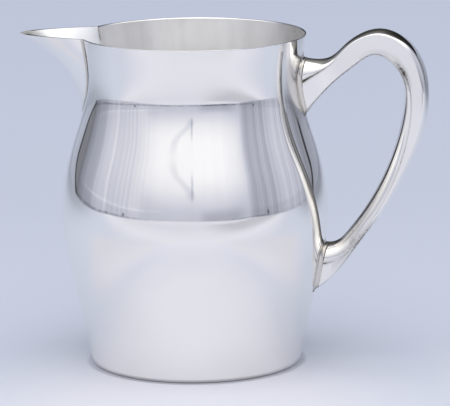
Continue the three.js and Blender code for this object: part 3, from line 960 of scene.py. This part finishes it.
def handle_shade_and_grime(share, around):
    """The strongest of the marks at a point of the handle."""
    return max(
        depth * near(share, along, reach) ** 0.4 * near(around, at, width) ** 0.6
        for depth, along, reach, at, width in shade_and_grime_marks.values()
    )


print("marks on the handle:", len(shade_and_grime_marks))

# %% Build the halves of the handle
for side, name in ((1, "left"), (-1, "right")):
    half = Skin()
    full_outer = handle_grid(arounds, 0, side)
    full_inner = handle_grid(arounds, -sheet, side)
    spine = np.mean(np.array(full_outer)[:, [0, -1]], axis=1)[:, None, :]
    for patch in patches:
        # Painted shade and grime of this half, from the marks.
        shade_and_dirt = [[handle_shade_and_grime(i / handle_rows, a) for a in patch] for i in range(handle_rows + 1)]
        half.grid(handle_grid(patch, 0, side), lambda p: p - spine, grime=shade_and_dirt)
        half.grid(handle_grid(patch, -sheet, side), lambda p: spine - p)
    for k in (0, -1):
        half.grid([[r[k] for r in full_outer], [r[k] for r in full_inner]], towards(0, -side, 0))
        half.grid([full_outer[k], full_inner[k]], towards(-1, 0, 0))
    make_piece("handle_half_" + name, half, [handle_silver], "polished_silver", "handle_shell_" + name)

# %% [markdown]
# The ends of the handle are soldered on in the same way. The fillet narrows to the thin tip of the tail,
# where a dark spot is painted.

# %% Build the fillets of the handle
handle_fillet_width, tip_narrowing = 1.4, 1.2


def handle_fillet(lower):
    bead, tip = (2.5, 0.0) if lower else (0.5, 3.0)

    def curve(around, side):
        width = handle_fillet_width - tip_narrowing * near(around, tip, 0.8)

        def spot(offset, lift):
            return handle_point(run_on_wall(around, lower, offset, lift), around, offset) * (1, side, 1)

        return fillet_curve(spot(width, 0), spot(0, 0), spot(0, width)), spot(0.1, -0.35)

    loop = [(a, 1) for a in arounds] + [(a, -1) for a in arounds[-2:0:-1]]
    curves, roots = zip(*(curve(a, s) for a, s in loop))
    middle = np.mean(np.array(roots), axis=0)
    edges = []
    for a, _ in loop:
        lines = max(near(a, bead, 1.0) ** 0.5, 0.5)
        # A dark spot painted at the tip of the tail.
        spots = 0.9 * near(a, tip, 1.15) ** 0.3
        edges.append([max(max(abs(i - 4) - 1, 0) / 3 * lines, spots) for i in range(9)])
    return ribbon(curves, roots, lambda p: (p - middle) * (0.2, 1, 1) + (1, 0, 0), edges, closed=True)


for name, lower in (("upper", False), ("lower", True)):
    made = handle_fillet(lower)
    make_piece("handle_fillet_" + name, made, [solder_silver], "solder", "handle_solder_" + name)

# %% [markdown]
# ## Table
# The jug stands on a pale sheet, lit by the surroundings alone, so its shadow stays soft. Light is also
# painted
# on the sheet: cool grey behind the jug and paler towards the lens. The sheet is a rounded oblong, because
# the belly mirrors its edge as a bent line.

# %% Lay the table
table_wide, table_deep = 0.93, 1.35
table_roundness, table_sides, table_drop = 0.6, 128, 0.00005
table_mesh = bpy.data.meshes.new("table")
table_shares = [0.0004 * 1.36**i for i in range(26)] + [1.0]
table_points, table_faces = [], []
for share in table_shares:
    for j in range(table_sides):
        turn = 2 * math.pi * j / table_sides
        aside = table_wide * math.copysign(abs(math.cos(turn)) ** table_roundness, math.cos(turn))
        forward = table_deep * math.copysign(abs(math.sin(turn)) ** table_roundness, math.sin(turn))
        place = jug_axis + (to_the_right * aside + towards_lens * forward) * share
        table_points.append((place.x, place.y, -table_drop))
for i in range(len(table_shares) - 1):
    for j in range(table_sides):
        a, b = i * table_sides + j, i * table_sides + (j + 1) % table_sides
        table_faces.append((a, b, b + table_sides, a + table_sides))
table_faces.append(tuple(reversed(range(table_sides))))
table_mesh.from_pydata(table_points, [], table_faces)
table = put_in_scene("table", table_mesh)
table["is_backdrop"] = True
print("table of", 2 * table_wide, "by", 2 * table_deep, "m with", len(table_faces), "faces")

# %% [markdown]
# Light and shade are painted on the sheet: it is palest just in front of the jug, where the silver throws
# light down, lighter and warmer beside it, and darker towards its far corners and in a band to the right. A
# thin dark ring painted round the foot is its contact shadow.

# %% Paint light and shade on the table
# A painted contact shadow: a thin dark ring round the foot.
contact_shadow_radius, contact_shadow_half, contact_shadow_soft = 0.0348, 0.0003, 0.0015
shadow_colour = (0.03, 0.025, 0.035, 1)


def band(tone, middle, half, soft):
    """1 within half of the middle, falling to 0 over the soft edge."""
    return 1 - (tone - middle).size().rise(half, half + soft)


paper, tree, shader = finish_tree("table_paper")
spot = tree.node("ShaderNodeTexCoord", out="Object")
fibre = spot.noise(900, 3) * 0.02 - 0.01
across = spot.along(to_the_right) - jug_axis.dot(to_the_right)
ahead = spot.along(towards_lens) - jug_axis.dot(towards_lens) + fibre
# Painted light: grey behind the jug, paler towards the lens.
painted_sheet_light = [
    (-0.9, (0.56, 0.605, 0.725)),
    (-0.25, (0.605, 0.648, 0.752)),
    (0.0, (0.695, 0.738, 0.845)),
    (0.07, (0.69, 0.728, 0.83)),
    (0.2, (0.85, 0.855, 0.915)),
    (0.45, (0.765, 0.775, 0.84)),
    (0.9, (0.8, 0.808, 0.868)),
    (1.35, (0.8, 0.808, 0.868)),
]
colour = ahead.ramp(-0.9, 1.35, painted_sheet_light)
# A painted pool of light just in front of the jug.
light_pool = 1 - spot.distance(jug_axis + towards_lens * 0.06).rise(0.03, 0.095)
colour = light_pool.blend(colour, (0.8, 0.805, 0.86, 1))
# Painted light: lighter and warmer beside the jug.
beside = across.size().rise(0.07, 0.1) * ahead.rise(-0.03, 0.03)
beside = beside * (1 - spot.distance(jug_axis).rise(0.16, 0.25))
side_light_colours = [(0.09, (0.8, 0.8, 0.86)), (0.15, (0.755, 0.755, 0.81))]
colour = beside.blend(colour, across.size().ramp(0.09, 0.15, side_light_colours))
# Painted shade towards the far corners.
corner_shade = across.size().rise(0.15, 0.5) * (1 - ahead.rise(-0.5, 0.1)) * (across.rise(0, 0.3) * 0.19 + 0.33)
colour = corner_shade.blend(colour, (0, 0, 0, 1))
# Painted shade in a band to the right.
shaded_side = across.rise(0.03, 0.3) * band(ahead, 0.48, 0.14, 0.14) * 0.25
# Painted contact shadow, stronger in front.
contact_shadow = band(spot.distance(jug_axis), contact_shadow_radius, contact_shadow_half, contact_shadow_soft)
contact_shadow = contact_shadow * (ahead.rise(-0.01, 0.03) * 0.2 + 0.16)
colour = (shaded_side + contact_shadow).blend(colour, shadow_colour)
colour.feed(shader, "Base Color")
shader.inputs["Roughness"].default_value = 0.9
shader.inputs["Specular IOR Level"].default_value = 0.1
table_mesh.materials.append(paper)
print("paper with", len(paper.node_tree.nodes), "nodes")

# %% [markdown]
# ## The studio that the silver mirrors
# Mirror silver has no look of its own: it shows the room. The room here is a white tent: pleated cloth at
# the front and sides, a bright middle where the main light comes through, a white ceiling, and a dark
# opening high up at the back, which draws the black line along the handle. It could be hung as real
# cloth, but as a brightness for every direction of the world it lights everything softly without noise.
# Directions are read as a bearing, counted from the lens to the right, and an elevation.

# %% Read directions
world = bpy.data.worlds.new("studio")
scene.world = world
world.use_nodes = True
sky = Tone(world.node_tree)
ray = sky.node("ShaderNodeTexCoord", out="Generated")
to_degrees = 180 / math.pi
bearing = sky.maths("ARCTAN2", ray.along(to_the_right), ray.along(towards_lens)) * to_degrees
elevation = sky.maths("ARCSINE", ray.along(upwards)) * to_degrees
turned = bearing.size()
print("directions ready")

# %% [markdown]
# A plan lists how bright the cloth is at each bearing, and noise along the bearing alone makes pleats that
# hang straight down. A slit and a curl by the lens give the thin marks in the middle of the belly.

# %% The cloth
tent_edge = 126
tent_plan = [
    (-126, 0.1), (-121, 0.28), (-112, 0.37), (-103, 0.49), (-93, 0.66), (-75, 0.71), (-62, 0.71),
    (-51, 0.83), (-38, 0.96), (-15, 1.0), (28, 0.99), (40, 0.9), (48, 0.78), (54, 0.43), (72, 0.46),
    (84, 0.62), (99, 0.63), (108, 0.55), (114, 0.45), (121, 0.33), (126, 0.15),
]
sides = turned.rise(40, 58)
pleat = (bearing * 0.11).noise(1.0, 3, "1D").rise(0.3, 0.7)
fine_pleat = (bearing * 0.42 + 40).noise(1.0, 2, "1D").rise(0.35, 0.65)
folds = (pleat * 0.62 + fine_pleat * 0.38 - 0.5) * (sides * 0.3 + 0.04)
cloth = bearing.ramp(-tent_edge, tent_edge, tent_plan) * (folds + 1)
fade = (1 - elevation.rise(-2, 26)) * (0.43 - sides * 0.28)
cloth = cloth * (1 - fade)
slit = band(bearing, -2, 0.4, 1.2) * band(elevation, 16, 3.5, 5) * 0.28
curl = band(bearing + elevation.rise(13, 26) * 18, -3, 1.5, 4) * band(elevation, 18, 5, 4) * 0.15
cloth = cloth * (1 - slit - curl)
print("cloth nodes so far:", len(world.node_tree.nodes))

# %% [markdown]
# The cloth ends in a ragged hem, with a welt sewn above it and two clips that hold it. High up it turns
# into the white roof. Where it is dim its grey is cool, so its colour is read off a list of tints.

# %% The hem of the cloth
hem_height, welt_height, parting = -2.8, 2.5, 24
clips = ((-63.5, -1.4), (66, -1.2))
by_hem = 1 - elevation.rise(0.6, 2.2)
shade = sides * by_hem * 0.1 + band(bearing, parting, 10, 14) * (1 - elevation.rise(0, 7)) * 0.24
ragged = (bearing * 0.2 + 7).noise(1.0, 3, "1D").rise(0.35, 0.65)
hem = band(elevation, hem_height, 0.3, 0.7) * (ragged * 0.35 + 0.2 + band(bearing, parting, 10, 10) * 0.35)
hem = hem * (1 - bearing.rise(58, 74) * 0.75)
welt = band(elevation, welt_height, 0.15, 0.45) * band(bearing, -72, 36, 12) * 0.16
cloth = cloth * (1 - shade) * (1 - hem) * (1 + welt)
for at, height in clips:
    clip = band(bearing, at, 0.5, 0.7) * band(elevation, height, 0.5, 0.7)
    cloth = cloth * (1 - clip * 0.85)
lift = elevation.rise(26, 48)
cloth = cloth * (1 - lift) + lift * 1.25
tints = [
    (0.0, 0.0), (0.3, (0.28, 0.3, 0.372)), (0.6, (0.576, 0.6, 0.712)),
    (1.0, (0.99, 1.0, 1.045)), (2.0, (2.0, 2.0, 2.03)),
]
cloth = cloth.ramp(0, 2, tints)
print("hem with", len(clips), "clips, nodes:", len(world.node_tree.nodes))

# %% [markdown]
# Behind the jug the tent is open: a plain backdrop with the dark room above it, which is paler at the far
# left, and a narrow gap beside the edges of the cloth. The white ceiling closes the room.

# %% The back and the ceiling
black = (0, 0, 0, 1)
pale_wall = (0.36, 0.37, 0.42, 1)
right_gap, left_gap = (0.27, 0.285, 0.34, 1), (0.185, 0.195, 0.225, 1)
cloth_edge = (0.02, 0.02, 0.025, 1)
ceiling = (1.85, 1.85, 1.87, 1)
right_back = band(bearing, 145, 14, 20)
backdrop = turned.ramp(130, 165, [(130, (0.36, 0.385, 0.47)), (165, (0.50, 0.54, 0.665))])
backdrop = (right_back * 0.2).blend(backdrop, black)
opening = elevation.ramp(0, 68, [(0, 0.04), (16, 0.045), (28, 0.12), (44, 0.24), (60, 0.38), (68, 1.0)])
opening = (right_back * (1 - elevation.rise(40, 52)) * 0.8).blend(opening, black)
left_back = band(bearing, -139, 12, 12) * (1 - elevation.rise(30, 45)) * 0.7
opening = left_back.blend(opening, pale_wall)
back = (elevation - right_back * 9).rise(2.9, 3.9).blend(backdrop, opening)
left = 1 - bearing.rise(-1, 1)
edge = elevation.rise(-4.6, 3) * (left * 7 + 8) + 125
gap = 1 - (turned - edge).rise(-0.8, 0.4)
back = gap.blend(back, left.blend(right_gap, left_gap))
back = band(turned - edge, -1.6, 1.5, 1).blend(back, cloth_edge)
room = turned.rise(122, 127).blend(cloth, back)
room = elevation.rise(60, 74).blend(room, ceiling)
background = world.node_tree.nodes["Background"]
room.feed(background, "Color")
background.inputs["Strength"].default_value = 1.0
print("studio nodes:", len(world.node_tree.nodes))

# %% [markdown]
# ## The size of the dressed jug
# The dressed jug has to fill the same box as the solids. Both boxes are printed side by side.

# %% Print both boxes
bpy.context.view_layer.update()
visual_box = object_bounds()
sizes = {"cad": [list(c) for c in cad_box], "visual": [list(c) for c in visual_box]}
for label, (low, high) in sizes.items():
    print(label, "box in mm:", [round((b - a) * 1000, 2) for a, b in zip(low, high)])
